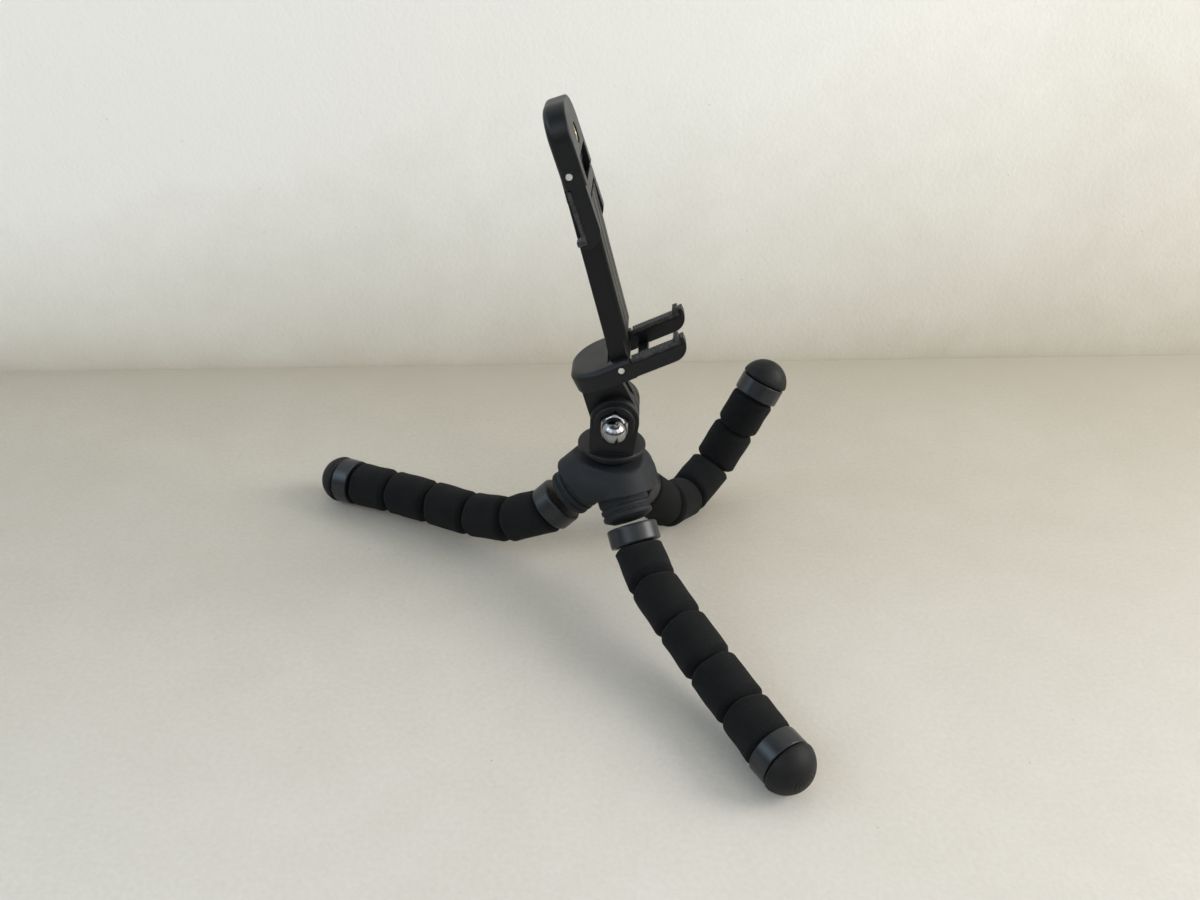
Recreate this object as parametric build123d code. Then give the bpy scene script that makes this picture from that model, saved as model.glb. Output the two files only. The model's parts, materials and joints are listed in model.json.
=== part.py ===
from build123d import *
import math
import os

# A mini tripod: three bendable foam legs on a moulded hub, and a folding, telescoping phone clamp
# on a pan and tilt joint. Lengths are millimetres and angles degrees. The origin lies on the table
# under the axis that the head turns about. +Z points up, +X is the side that the clamp's fingers
# reach out to, and the tilt bolt lies along Y.

# Hub and the necks that the legs leave it through
HUB_TOP_Z = 45.0
HUB_CROWN_R = 9.0
HUB_WAIST_R = 15.0
HUB_FLOOR_Z = 30.4
HOOD_R = 10.4
HOOD_REACH = 17.3
HOOD_CREST_Z = 40.0
HOOD_RIM_SLOPE = 30.0
NECK_R = 7.9
NECK_TIP_R = 5.2
NECK_TAPER = 1.2
NECK_RIB = 1.7
NECK_GROOVE = 0.5
NECK_GROOVE_DEPTH = 0.7
NECK_RIBS = 2
NECK_BARREL = 8.0
NECK_SINK = 24.0
WAIST_CREST_Z = 37.0

# Legs: each leg's azimuth, then the side swing and slope of its collar, five foam beads and end ring
LEG_AZIMUTHS = {"front": -60.0, "left": 180.0, "rear": 60.0}
LEG_COURSES = {
    "front": ((-3, -46), (-10, -15), (0, -14), (3, -13), (2, -9), (-2, -4), (6, -5)),
    "left": ((3, -46), (-19, -30), (-29, -14), (-25, -3), (-23, -2), (-21, -3), (-24, -4)),
    "rear": ((-1, -46), (-30, -43), (1, -14), (-10, 26), (-39, 62), (-68, 68), (-32, 62)),
}
COLLAR_TOP_R = 15.0
COLLAR_TOP_Z = 27.0
LEG_SLOPE = 45.6
NECK_GAP = 1.6
COLLAR_R = 8.0
COLLAR_LENGTH = 6.2
FOAM_R = 7.5
FOAM_PITCH = 16.3
LAST_FOAM = 14.4
FOAM_SHOULDER = 2.2
FOAM_GAP = 0.3
BEND_UP = 20.0
BEND_DOWN = 20.0
SHARPEST_BEND = 45.0
SWING = 15.0
BEAD_COUNT = 5
RING_R = 7.8
RING_LENGTH = 6.1
FOOT_R = 8.0
FOOT_SKIRT = 1.4
FOOT_DOME = 6.3
FOOT_STEM_R = 5.0
FOOT_STEM = 2.6
WIRE_R = 2.0
WIRE_CLEAR = 0.15
WIRE_GAP = 0.4
COLLAR_MOUTH = 0.6
WIRE_ROOT = 11.0
WIRE_END = 3.0

# Pan base: a turning flange that carries a three-prong clevis
PAN_GAP = 0.1
PAN_COLLAR_R = 8.3
PAN_COLLAR = 2.9
FLANGE_R = 10.6
FLANGE = 1.6
TILT_X = 0.6
TILT_Z = 60.7
PRONG_R = 7.4
PRONG_FOOT = 13.4
PRONG = 3.0
PRONG_SLOT = 3.2
BOSS_R = 6.2
BOSS = 1.5
NUT_FLATS = 8.0
NUT_HEX = 4.0
NUT_LENGTH = 10.0
NUT_SEAT = 2.0
BOLT_R = 2.5
BOLT_HEAD_R = 4.6
BOLT_HEAD = 3.0
BOLT_CLEAR = 0.1
PAN_SCREW_R = 2.0
PAN_SCREW_HEAD_R = 3.8
PAN_SCREW_HEAD = 2.8
PAN_SCREW_Z = 34.8

# Clamp: the rail leans back, and the lower jaw stands off it by the jaw angle. The rail runs
# between the jaws' fingers, so its width follows theirs
RAIL_LEAN = 16.3
JAW_OPEN = 79.3
TOP_JAW_STAND_OFF = 3.6
PIN_SPACING = 58.5
PIN_R = 1.0
PIN_CLEAR = 0.06
TRAVEL = 30.0
SLIDE_CLEAR = 0.2
JAW_HALF = 11.75
FINGER = 3.55
RAIL_BACK = 2.8
RAIL_FRONT = 3.8
RAIL_HALF = JAW_HALF - FINGER - SLIDE_CLEAR
RAIL_SIDE = 1.4
RAIL_BACK_WALL = 1.3
LUG_FRONT = 2.1
LUG_R = 2.5
LUG_LENGTH = 8.2
LUG_REAR_STEP = 0.2
COVER = 1.5
COVER_GROOVE = 0.4
SPRING_R = 1.3
SPRING_WIRE = 0.5
SPRING_Y = 0.45 * RAIL_HALF
SPRING_TOP = 44.0
SPRING_CLEAR = 0.3

# Jaw: a round-backed plate that ends in two padded fingers, measured from its pin
LOWER_PLATE_BACK = 16.2
UPPER_PLATE_BACK = 17.5
PLATE_FRONT = 3.4
PLATE_TOP = 2.5
PLATE_UNDER = 3.9
PLATE_CORNER = 9.0
PLATE_ROUND = 1.8
PLATE_UNDER_ROUND = 0.6
CHEEK_END = 3.4
FINGER_LENGTH = 20.5
FINGER_UNDER = 3.45
FINGER_TOP = 0.75
TIP_ROUND = 4.8
LIP = 1.1
LIP_TOP = 2.9
WEB_START = 4.1
WEB_END = 7.2
WEB = 1.1
PAD_START = 3.9
PAD = 1.45
PAD_INSET = 0.15
HOOK = 1.3
HOOK_RISE = 1.7
INSERT_J = -7.9
INSERT_R = 2.9
INSERT_DEPTH = 2.8
INSERT_BORE_R = 1.6

# Mount neck: two tongues that stand under the lower jaw's plate
TONGUE = 2.9
KNUCKLE_R = 7.3
KNUCKLE_J = -9.9
KNUCKLE_DROP = 16.8
NECK_TOP_BACK = 15.2
NECK_TOP_FRONT = 3.0
NECK_WEB = 4.0

UP = Vector(0, 0, 1)
FAR = 90.0
STANDING = (Align.CENTER, Align.CENTER, Align.MIN)
HANGING = (Align.CENTER, Align.CENTER, Align.MAX)


def heading(azimuth, slope):
    """Unit vector at an azimuth about Z and a slope above the level."""
    a, s = math.radians(azimuth), math.radians(slope)
    return Vector(math.cos(a) * math.cos(s), math.sin(a) * math.cos(s), math.sin(s))


def turned(profile_face):
    """A face drawn on XZ, revolved about Z."""
    return revolve(profile_face, Axis.Z)


def drawn(points):
    """A face on XZ from its corner points."""
    return make_face(Plane.XZ * Polyline(*points, close=True))


def rod(start, end, radius):
    """A round bar from one point to another."""
    run = end - start
    return Plane(origin=start, z_dir=run) * Cylinder(radius, run.length, align=STANDING)


def slab(x0, x1, y0, y1, z0, z1):
    """A box between pairs of limits."""
    box = Box(x1 - x0, y1 - y0, z1 - z0, align=(Align.MIN, Align.MIN, Align.MIN))
    return Pos(x0, y0, z0) * box


def both_sides(shape):
    """A shape and its mirror image across the XZ plane."""
    return [shape, mirror(shape, Plane.XZ)]


def along_y(profile_face, y0, y1):
    """A face drawn on XZ, extruded from y0 to y1."""
    return Pos(0, y1, 0) * extrude(profile_face, y1 - y0, dir=(0, -1, 0))


def circle_xz(x, z, radius):
    """A disc on XZ."""
    return Plane.XZ * (Pos(x, z) * Circle(radius))


def y_hole(x, z, radius):
    """A long round cutter along Y."""
    return along_y(circle_xz(x, z, radius), -FAR, FAR)


# Leg geometry

def neck_axis(leg):
    """Point at the middle of the gap below a neck, and the neck's outward direction."""
    azimuth = LEG_AZIMUTHS[leg]
    direction = heading(azimuth, -LEG_SLOPE)
    collar_top = Vector(0, 0, COLLAR_TOP_Z) + heading(azimuth, 0) * COLLAR_TOP_R
    return collar_top - direction * (NECK_GAP / 2), direction


def leg_directions(leg, lift=0.0):
    """Directions of collar, beads and ring, with the first two beads' slopes raised by a lift."""
    azimuth = LEG_AZIMUTHS[leg]
    directions = []
    for i, (swing, slope) in enumerate(LEG_COURSES[leg]):
        raised = slope + lift if i in (1, 2) else slope
        directions.append(heading(azimuth + swing, raised))
    return directions


def leg_nodes(leg, lift=0.0):
    """Bend points of a leg: gap below the neck, collar end, bead ends and ring end."""
    point = neck_axis(leg)[0]
    foams = [FOAM_PITCH] * (BEAD_COUNT - 1) + [LAST_FOAM]
    lengths = [NECK_GAP / 2 + COLLAR_LENGTH, *foams, RING_LENGTH]
    nodes = [point]
    for direction, length in zip(leg_directions(leg, lift), lengths):
        nodes.append(nodes[-1] + direction * length)
    return nodes


def half_side(point, outward, cone):
    """The region behind a point, whose face is a shallow cone that falls away from it."""
    fall = FAR / 2 * math.tan(math.radians(cone))
    face = drawn([(0, 0), (FAR / 2, -fall), (FAR / 2, -FAR), (0, -FAR)])
    return Plane(origin=point - outward * (FOAM_GAP / 2), z_dir=outward) * turned(face)


def foam_bead(start, end, start_out, end_out, start_cone, end_cone):
    """A foam sleeve between two bend points, mitred to its neighbours and rounded at its shoulders."""
    run = (end - start).normalized()
    bead = rod(start - run * FOAM_R, end + run * FOAM_R, FOAM_R)
    bead = bead & half_side(start, start_out, start_cone) & half_side(end, end_out, end_cone)
    rims = [edge for edge in bead.edges() if edge.geom_type != GeomType.LINE]
    bead = fillet(rims, FOAM_SHOULDER)
    return bead - rod(start - run * FOAM_R, end + run * FOAM_R, WIRE_R + WIRE_CLEAR)


def wire_piece(start, end, end_gap=WIRE_GAP):
    """A piece of the core wire with round ends, just short of the bend points."""
    run = (end - start).normalized()
    first = start + run * (WIRE_GAP + WIRE_R)
    last = end - run * (end_gap + WIRE_R)
    return rod(first, last, WIRE_R) + Pos(*first) * Sphere(WIRE_R) + Pos(*last) * Sphere(WIRE_R)


def collar_piece(start, end):
    """The plain ring under a neck."""
    run = (end - start).normalized()
    ring = rod(start + run * (NECK_GAP / 2), end - run * (FOAM_GAP / 2), COLLAR_R)
    ring = fillet([edge for edge in ring.edges() if edge.geom_type == GeomType.CIRCLE], 0.7)
    bore_r = WIRE_R + WIRE_CLEAR
    mouth = Cone(bore_r, bore_r + COLLAR_MOUTH + FOAM_GAP, COLLAR_MOUTH + FOAM_GAP, align=HANGING)
    return ring - rod(start, end, bore_r) - Plane(origin=end, z_dir=run) * mouth


def end_ring(start, end):
    """The ring at a leg's end, hollowed for the foot's stem."""
    run = (end - start).normalized()
    ring = rod(start + run * (FOAM_GAP / 2), end, RING_R)
    ring = fillet([edge for edge in ring.edges() if edge.geom_type == GeomType.CIRCLE], 0.4)
    ring = ring - rod(start, end, WIRE_R + 1.0)
    return ring - rod(end - run * (FOOT_STEM + WIRE_CLEAR), end, FOOT_STEM_R + WIRE_CLEAR)


def foot_piece(start, run):
    """A rubber foot: a stem, a short skirt and a dome."""
    stem = Cylinder(FOOT_STEM_R, FOOT_STEM, align=STANDING)
    skirt = Pos(0, 0, FOOT_STEM) * Cylinder(FOOT_R, FOOT_SKIRT + FOOT_DOME, align=STANDING)
    ball_r = (FOOT_R**2 + FOOT_DOME**2) / (2 * FOOT_DOME)
    ball = Pos(0, 0, FOOT_STEM + FOOT_SKIRT + FOOT_DOME - ball_r) * Sphere(ball_r)
    skirt = skirt & (ball + Cylinder(2 * FOOT_R, FOOT_STEM + FOOT_SKIRT, align=STANDING))
    return Plane(origin=start - run * FOOT_STEM, z_dir=run) * (stem + skirt)


def leg_parts(leg, lift):
    """All the moving pieces of a leg, by name."""
    nodes, runs = leg_nodes(leg, lift), leg_directions(leg, lift)
    parts = {"collar": collar_piece(nodes[0], nodes[1])}
    parts["core_0"] = wire_piece(nodes[0], nodes[1])
    for i in range(1, BEAD_COUNT + 1):
        before = -runs[0] if i == 1 else -(runs[i - 1] + runs[i]).normalized()
        after = runs[i + 1] if i == BEAD_COUNT else (runs[i] + runs[i + 1]).normalized()
        start_cone = BEND_UP + 0.5 if i == 1 else (BEND_UP + 1) / 2
        end_cone = 0.0 if i == BEAD_COUNT else (BEND_UP + 1) / 2
        parts[f"foam_{i}"] = foam_bead(nodes[i], nodes[i + 1], before, after, start_cone, end_cone)
        wire_end = -WIRE_END if i == BEAD_COUNT else WIRE_GAP
        parts[f"core_{i}"] = wire_piece(nodes[i], nodes[i + 1], wire_end)
    parts["end_ring"] = end_ring(nodes[-2], nodes[-1])
    parts["foot"] = foot_piece(nodes[-1], runs[-1])
    return parts


def lowest(leg, lift):
    """Height of the lowest of a leg's beads, ring and foot."""
    parts = leg_parts(leg, lift)
    resting = [shape for name, shape in parts.items() if name[:4] in ("foam", "foot", "end_")]
    return min(shape.bounding_box().min.Z for shape in resting)


def settled_lift(leg):
    """The small lift that puts a leg's lowest point on the table."""
    low, high = 0.0, -lowest(leg, 0.0)
    low_z, high_z = -high, lowest(leg, high)
    for _ in range(2):
        middle = low - low_z * (high - low) / (high_z - low_z)
        low, low_z, high, high_z = high, high_z, middle, lowest(leg, middle)
    return high


# Hub

def neck_profile():
    """Half section of a neck, measured back from the gap: tip, taper, ribs and barrel."""
    at = NECK_GAP / 2
    points = [(0, at), (NECK_TIP_R, at)]
    at += NECK_TAPER
    points.append((NECK_R - 0.3, at))
    groove_r = NECK_R - NECK_GROOVE_DEPTH
    for _ in range(NECK_RIBS):
        points += [(NECK_R, at + 0.3), (NECK_R, at + NECK_RIB - 0.2), (groove_r, at + NECK_RIB)]
        at += NECK_RIB + NECK_GROOVE
        points.append((groove_r, at))
    points += [(NECK_R, at + 0.3), (NECK_R, at + NECK_BARREL), (0, at + NECK_BARREL)]
    return drawn(points)


def bell(waist, crest_z):
    """A solid of revolution that widens from the hub's crown to its waist."""
    crown = (HUB_CROWN_R, HUB_TOP_Z)
    shoulder_r = HUB_CROWN_R + 0.78 * (waist - HUB_CROWN_R)
    shoulder_z = crest_z + 0.55 * (HUB_TOP_Z - crest_z)
    flank = Plane.XZ * ThreePointArc(crown, (shoulder_r, shoulder_z), (waist, crest_z))
    base = [(waist, HUB_FLOOR_Z), (0, HUB_FLOOR_Z), (0, HUB_TOP_Z)]
    sides = Plane.XZ * Polyline((waist, crest_z), *base, crown)
    return turned(make_face([*flank.edges(), *sides.edges()]))


def below_rim(azimuth):
    """The region under the slanting rim of one hood."""
    rim = heading(azimuth, 0) * HOOD_REACH + UP * HOOD_CREST_Z
    normal = heading(azimuth + 180, 90 - HOOD_RIM_SLOPE)
    cutter = Box(3 * FAR, 3 * FAR, FAR, align=HANGING)
    return Plane(origin=rim, z_dir=normal) * cutter


def hub_body():
    """The three-hooded hub with its ribbed necks, wire bores and the pan screw's hole."""
    body = bell(HUB_WAIST_R, WAIST_CREST_Z)
    hoods = bell(HOOD_REACH, HOOD_CREST_Z)
    necks = []
    for leg in LEG_AZIMUTHS:
        gap, run = neck_axis(leg)
        hood = rod(gap - run * NECK_SINK, gap + run * COLLAR_LENGTH, HOOD_R)
        body += hoods & hood
        necks.append(Plane(origin=gap, z_dir=-run) * turned(neck_profile()))
    for azimuth in LEG_AZIMUTHS.values():
        body -= below_rim(azimuth)
    for neck in necks:
        body += neck
    for leg in LEG_AZIMUTHS:
        gap, run = neck_axis(leg)
        body -= rod(gap - run * (WIRE_ROOT + 1), gap, WIRE_R + WIRE_CLEAR)
    shank = Pos(0, 0, HUB_FLOOR_Z - FAR / 2) * Cylinder(PAN_SCREW_R + BOLT_CLEAR, 2 * FAR)
    head = Pos(0, 0, PAN_SCREW_Z) * Cylinder(PAN_SCREW_HEAD_R + BOLT_CLEAR, FAR, align=HANGING)
    return body - shank - head


def wire_roots():
    """The three ends of core wire that are moulded into the hub."""
    pieces = []
    for leg in LEG_AZIMUTHS:
        gap, run = neck_axis(leg)
        pieces.append(wire_piece(gap - run * WIRE_ROOT, gap))
    return pieces


# Pan base and tilt bolt

def pan_screw():
    """The screw that holds the pan base down, driven from under the hub."""
    head = Pos(0, 0, PAN_SCREW_Z) * Cylinder(PAN_SCREW_HEAD_R, PAN_SCREW_HEAD, align=HANGING)
    top = HUB_TOP_Z + PAN_GAP + PAN_COLLAR
    shank = Pos(0, 0, PAN_SCREW_Z) * Cylinder(PAN_SCREW_R, top - PAN_SCREW_Z, align=STANDING)
    socket = Pos(0, 0, PAN_SCREW_Z - PAN_SCREW_HEAD) * extrude(RegularPolygon(1.5, 6), 1.6)
    return head + shank - socket


def prong_face():
    """Outline of a clevis prong on XZ: a round ear on a slightly narrower foot."""
    ear = Pos(TILT_X, TILT_Z) * Circle(PRONG_R)
    foot = Pos(0, flange_top() - 0.5) * Rectangle(PRONG_FOOT, 1.0)
    return Plane.XZ * make_hull([*ear.edges(), *foot.edges()])


def flange_top():
    """Height of the pan flange's upper face."""
    return HUB_TOP_Z + PAN_GAP + PAN_COLLAR + FLANGE


def pan_base():
    """The turning flange with its collar, three prongs and the boss that traps the nut."""
    low = HUB_TOP_Z + PAN_GAP
    collar = Pos(0, 0, low) * Cylinder(PAN_COLLAR_R, PAN_COLLAR, align=STANDING)
    collar = fillet(collar.edges().group_by(Axis.Z)[0], 1.2)
    flange = Pos(0, 0, low + PAN_COLLAR) * Cylinder(FLANGE_R, FLANGE, align=STANDING)
    flange = fillet(flange.edges().filter_by(GeomType.CIRCLE), 0.5)
    base = collar + flange
    pitch = PRONG + PRONG_SLOT
    for i in (-1, 0, 1):
        middle = i * pitch
        base += along_y(prong_face(), middle - PRONG / 2, middle + PRONG / 2)
    outer = pitch + PRONG / 2
    boss = along_y(circle_xz(TILT_X, TILT_Z, BOSS_R), -outer - BOSS, -outer)
    base += fillet(boss.edges().group_by(Axis.Y)[0], 0.5)
    base -= y_hole(TILT_X, TILT_Z, BOLT_R + BOLT_CLEAR)
    base -= nut_prism(-outer - BOSS - 1.0, nut_seat(), BOLT_CLEAR)
    screw = Pos(0, 0, low) * Cylinder(PAN_SCREW_R, 2 * PAN_COLLAR)
    return base - screw


def nut_seat():
    """Place along Y of the bottom of the nut's pocket."""
    return -(PRONG + PRONG_SLOT) - PRONG / 2 - BOSS + NUT_SEAT


def nut_prism(y0, y1, clearance=0.0):
    """A hexagonal bar with a corner upward, as wide as the nut."""
    hexagon = RegularPolygon((NUT_FLATS / 2 + clearance) / math.cos(math.pi / 6), 6, rotation=90)
    return along_y(Plane.XZ * (Pos(TILT_X, TILT_Z) * hexagon), y0, y1)


def acorn_nut():
    """A domed cap nut, its blind hole filled by the bolt."""
    seat = nut_seat()
    hexagon = nut_prism(seat - NUT_HEX, seat)
    dome_r = 0.47 * NUT_FLATS
    shaft = NUT_LENGTH - NUT_HEX - dome_r
    crown = Polyline((0, -NUT_HEX), (dome_r, -NUT_HEX), (dome_r, -NUT_HEX - shaft))
    arc = CenterArc((0, -NUT_HEX - shaft), dome_r, -90, 90)
    axis = Line((0, -NUT_HEX), (0, -NUT_LENGTH))
    dome = turned(Plane.XZ * make_face([*crown.edges(), *arc.edges(), *axis.edges()]))
    rim = NUT_FLATS / 2 + 0.35
    bevel = turned(drawn([(0, 0), (rim, 0), (rim, 0.4 - NUT_HEX), (rim - 0.55, -NUT_HEX), (0, -NUT_HEX)]))
    to_bolt = Plane(origin=(TILT_X, seat, TILT_Z), z_dir=(0, 1, 0))
    nut = hexagon & (to_bolt * bevel)
    nut += to_bolt * dome
    return nut - along_y(circle_xz(TILT_X, TILT_Z, BOLT_R), bolt_tip() - BOLT_CLEAR, 0)


def bolt_tip():
    """Place along Y of the bolt's end inside the nut."""
    return nut_seat() - NUT_HEX - 3.0


def pivot_bolt():
    """The tilt bolt: a domed hexagon-socket head on the far prong and its shank."""
    seat = PRONG + PRONG_SLOT + PRONG / 2
    head = along_y(circle_xz(TILT_X, TILT_Z, BOLT_HEAD_R), seat, seat + BOLT_HEAD)
    head = fillet(head.edges().group_by(Axis.Y)[-1], 1.4)
    socket = along_y(Plane.XZ * (Pos(TILT_X, TILT_Z) * RegularPolygon(1.8, 6)), seat + 1.2, seat + BOLT_HEAD)
    shank = along_y(circle_xz(TILT_X, TILT_Z, BOLT_R), bolt_tip(), seat)
    return head + shank - socket


# Clamp frames: X is forward of the rail or along the fingers, Z is up the rail or towards the phone

def clamp_plane():
    """The rail's own plane: origin on the lower pin, Z up the rail, X forward."""
    lean = math.radians(RAIL_LEAN)
    forward = Vector(math.cos(lean), 0, math.sin(lean))
    return Plane(origin=lower_pin(), x_dir=forward, z_dir=Vector(-math.sin(lean), 0, math.cos(lean)))


def jaw_slope():
    """Slope of the lower jaw's fingers above the level."""
    return 90 + RAIL_LEAN - JAW_OPEN


def lower_pin():
    """The lower pin, found from the tilt bolt through the neck."""
    slope = math.radians(jaw_slope())
    along, normal = Vector(math.cos(slope), 0, math.sin(slope)), Vector(-math.sin(slope), 0, math.cos(slope))
    return Vector(TILT_X, 0, TILT_Z) - along * KNUCKLE_J + normal * KNUCKLE_DROP


def lower_jaw_plane():
    """The lower jaw's plane: origin on its pin, X along the fingers, Z towards the phone."""
    slope = math.radians(jaw_slope())
    along = Vector(math.cos(slope), 0, math.sin(slope))
    return Plane(origin=lower_pin(), x_dir=along, z_dir=Vector(-math.sin(slope), 0, math.cos(slope)))


def upper_jaw_plane():
    """The upper jaw's plane, folded down along the rail."""
    rail = clamp_plane()
    off = math.radians(TOP_JAW_STAND_OFF)
    along = rail.x_dir * math.sin(off) - rail.z_dir * math.cos(off)
    normal = -rail.x_dir * math.cos(off) - rail.z_dir * math.sin(off)
    return Plane(origin=lower_pin() + rail.z_dir * PIN_SPACING, x_dir=along, z_dir=normal)


# Clamp pieces, each in its own plane

def finger_face():
    """Side outline of a finger below its pad, with a rounded lower tip and an upturned lip."""
    tip = FINGER_LENGTH
    corner = (tip - TIP_ROUND, -FINGER_UNDER)
    top_of_arc = (tip, -FINGER_UNDER + TIP_ROUND)
    arc = CenterArc((tip - TIP_ROUND, -FINGER_UNDER + TIP_ROUND), TIP_ROUND, -90, 90)
    lip = [top_of_arc, (tip, LIP_TOP), (tip - LIP, LIP_TOP), (tip - LIP, FINGER_TOP)]
    root = [(CHEEK_END - 1, FINGER_TOP), (CHEEK_END - 1, -FINGER_UNDER)]
    outline = Polyline(*lip, *root, corner)
    return Plane.XZ * make_face([*outline.edges(), *arc.edges()])


def plate_face(reach):
    """Plan outline of the jaw's plate: square at the pin, rounded at the back."""
    plan = Pos((CHEEK_END - reach) / 2, 0) * Rectangle(CHEEK_END + reach, 2 * JAW_HALF)
    back = plan.vertices().group_by(Axis.X)[0]
    return fillet(back, PLATE_CORNER)


def jaw_body(reach):
    """A jaw whose round-backed plate has this reach behind the pin, with cheeks, two fingers and a web."""
    plate = extrude(plate_face(reach), PLATE_UNDER + PLATE_TOP)
    plate = Pos(0, 0, -PLATE_UNDER) * plate
    for group, radius in ((-1, PLATE_ROUND), (0, PLATE_UNDER_ROUND)):
        level = plate.edges().group_by(Axis.Z)[group]
        plate = fillet([edge for edge in level if edge.center().X < CHEEK_END - 0.1], radius)
    inner = JAW_HALF - FINGER
    jaw = plate - slab(-PLATE_FRONT, FAR, -inner, inner, -FAR, FAR)
    for finger in both_sides(along_y(finger_face(), inner, JAW_HALF)):
        jaw += finger
    jaw += slab(WEB_START, WEB_END, -inner - 0.5, inner + 0.5, -FINGER_UNDER, -FINGER_UNDER + WEB)
    jaw -= y_hole(0, 0, PIN_R + PIN_CLEAR)
    pocket = Pos(INSERT_J, 0, -PLATE_UNDER) * Cylinder(INSERT_R, 2 * INSERT_DEPTH)
    return jaw - pocket


def pad_face():
    """Side outline of a finger's pad, with a hook at its tip."""
    end = FINGER_LENGTH - LIP - PAD_INSET
    top = FINGER_TOP + PAD
    base = [(PAD_START, FINGER_TOP), (end, FINGER_TOP)]
    hook = [(end, top + HOOK_RISE), (end - HOOK, top + HOOK_RISE), (end - HOOK - 0.9, top)]
    return drawn([*base, *hook, (PAD_START, top)])


def jaw_pads():
    """The two textured pads that lie on a jaw's fingers."""
    return both_sides(along_y(pad_face(), JAW_HALF - FINGER + PAD_INSET, JAW_HALF - PAD_INSET))


def jaw_pin():
    """The steel pin that a jaw turns on."""
    pin = along_y(circle_xz(0, 0, PIN_R), -JAW_HALF, JAW_HALF)
    return fillet(pin.edges().filter_by(GeomType.CIRCLE), 0.25)


def insert_piece():
    """The threaded metal insert in the upper jaw's plate, which the lower jaw uses for the neck."""
    insert = Pos(INSERT_J, 0, -PLATE_UNDER + 0.4) * Cylinder(INSERT_R, INSERT_DEPTH - 0.4, align=STANDING)
    return insert - Pos(INSERT_J, 0, -PLATE_UNDER) * Cylinder(INSERT_BORE_R, 2 * INSERT_DEPTH)


def mount_neck():
    """The neck under the lower jaw: a head that seats on the plate and two tongues round the bolt."""
    knuckle = Pos(KNUCKLE_J, -KNUCKLE_DROP) * Circle(KNUCKLE_R)
    middle = (-NECK_TOP_BACK - NECK_TOP_FRONT) / 2
    head = Pos(middle, -PLATE_UNDER - 0.5) * Rectangle(NECK_TOP_BACK - NECK_TOP_FRONT, 1.0)
    half = PRONG / 2 + (PRONG_SLOT - TONGUE) / 2 + TONGUE
    neck = along_y(Plane.XZ * make_hull([*knuckle.edges(), *head.edges()]), -half, half)
    slot = half - TONGUE
    neck -= slab(-FAR, FAR, -slot, slot, -FAR, -PLATE_UNDER - NECK_WEB)
    neck -= y_hole(KNUCKLE_J, -KNUCKLE_DROP, BOLT_R + BOLT_CLEAR)
    stud = Pos(INSERT_J, 0, -PLATE_UNDER) * Cylinder(INSERT_R - 0.1, INSERT_DEPTH - 0.4, align=STANDING)
    return neck + stud


def cavity():
    """The channel inside the rail that the slider runs in, open at the front and top."""
    half = RAIL_HALF - RAIL_SIDE
    return slab(-RAIL_BACK + RAIL_BACK_WALL, FAR, -half, half, cavity_floor(), FAR)


def cavity_floor():
    """Height of the channel's closed end above the lower pin."""
    return LUG_LENGTH + 1.3


def rail_top():
    """Height of the rail's open end above the lower pin."""
    return PIN_SPACING - LUG_LENGTH


def lug(toward_rail):
    """The thin round end of the rail or slider that a jaw's pin goes through."""
    reach = LUG_LENGTH - LUG_REAR_STEP
    low, high = (0, reach) if toward_rail > 0 else (-reach, 0)
    block = slab(-RAIL_BACK, LUG_FRONT, -RAIL_HALF, RAIL_HALF, low, high)
    return block + along_y(circle_xz(0, 0, LUG_R), -RAIL_HALF, RAIL_HALF)


def rail():
    """The outer rail: a channel with a lug at its lower end."""
    channel = slab(-RAIL_BACK, RAIL_FRONT, -RAIL_HALF, RAIL_HALF, LUG_LENGTH - LUG_REAR_STEP, rail_top())
    channel = fillet(channel.edges().filter_by(Axis.Z), 0.6)
    body = channel + lug(1) - cavity()
    return body - y_hole(0, 0, PIN_R + PIN_CLEAR)


def rail_cover():
    """The front plate that closes the rail, with two shallow lengthwise grooves."""
    half = RAIL_HALF - RAIL_SIDE - PIN_CLEAR
    plate = slab(RAIL_FRONT - COVER, RAIL_FRONT, -half, half, cavity_floor() + PIN_CLEAR, rail_top())
    groove = slab(RAIL_FRONT - COVER_GROOVE, FAR, half / 2 - 0.5, half / 2 + 0.5, 0, FAR)
    for cut in both_sides(groove):
        plate -= cut
    return plate


def slider_bar():
    """The telescoping bar, slotted for the springs, with the upper jaw's lug."""
    back = -RAIL_BACK + RAIL_BACK_WALL + SLIDE_CLEAR
    front = RAIL_FRONT - COVER - SLIDE_CLEAR
    half = RAIL_HALF - RAIL_SIDE - SLIDE_CLEAR
    low = cavity_floor() + 1.0
    bar = slab(back, min(front, LUG_FRONT), -half, half, low, rail_top() + 1)
    reach = SPRING_R + SPRING_CLEAR
    for slot in both_sides(slab(-FAR, FAR, SPRING_Y - reach, SPRING_Y + reach, 0, SPRING_TOP)):
        bar -= slot
    end = Pos(0, 0, PIN_SPACING) * lug(-1)
    return bar + end - y_hole(0, PIN_SPACING, PIN_R + PIN_CLEAR)


def slider_springs():
    """The two closed-coil springs that pull the slider down, drawn as their outer tubes."""
    low = cavity_floor() + 0.2
    length = SPRING_TOP - SLIDE_CLEAR - low
    middle = (LUG_FRONT - RAIL_BACK + RAIL_BACK_WALL + SLIDE_CLEAR) / 2
    tube = Cylinder(SPRING_R, length, align=STANDING)
    tube -= Cylinder(SPRING_R - SPRING_WIRE, length, align=STANDING)
    return both_sides(Pos(middle, SPRING_Y, low) * tube)


def placed(plane, shape):
    """A shape or list of shapes moved from its own plane into the part."""
    if isinstance(shape, list):
        return [plane * piece for piece in shape]
    return plane * shape


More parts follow.
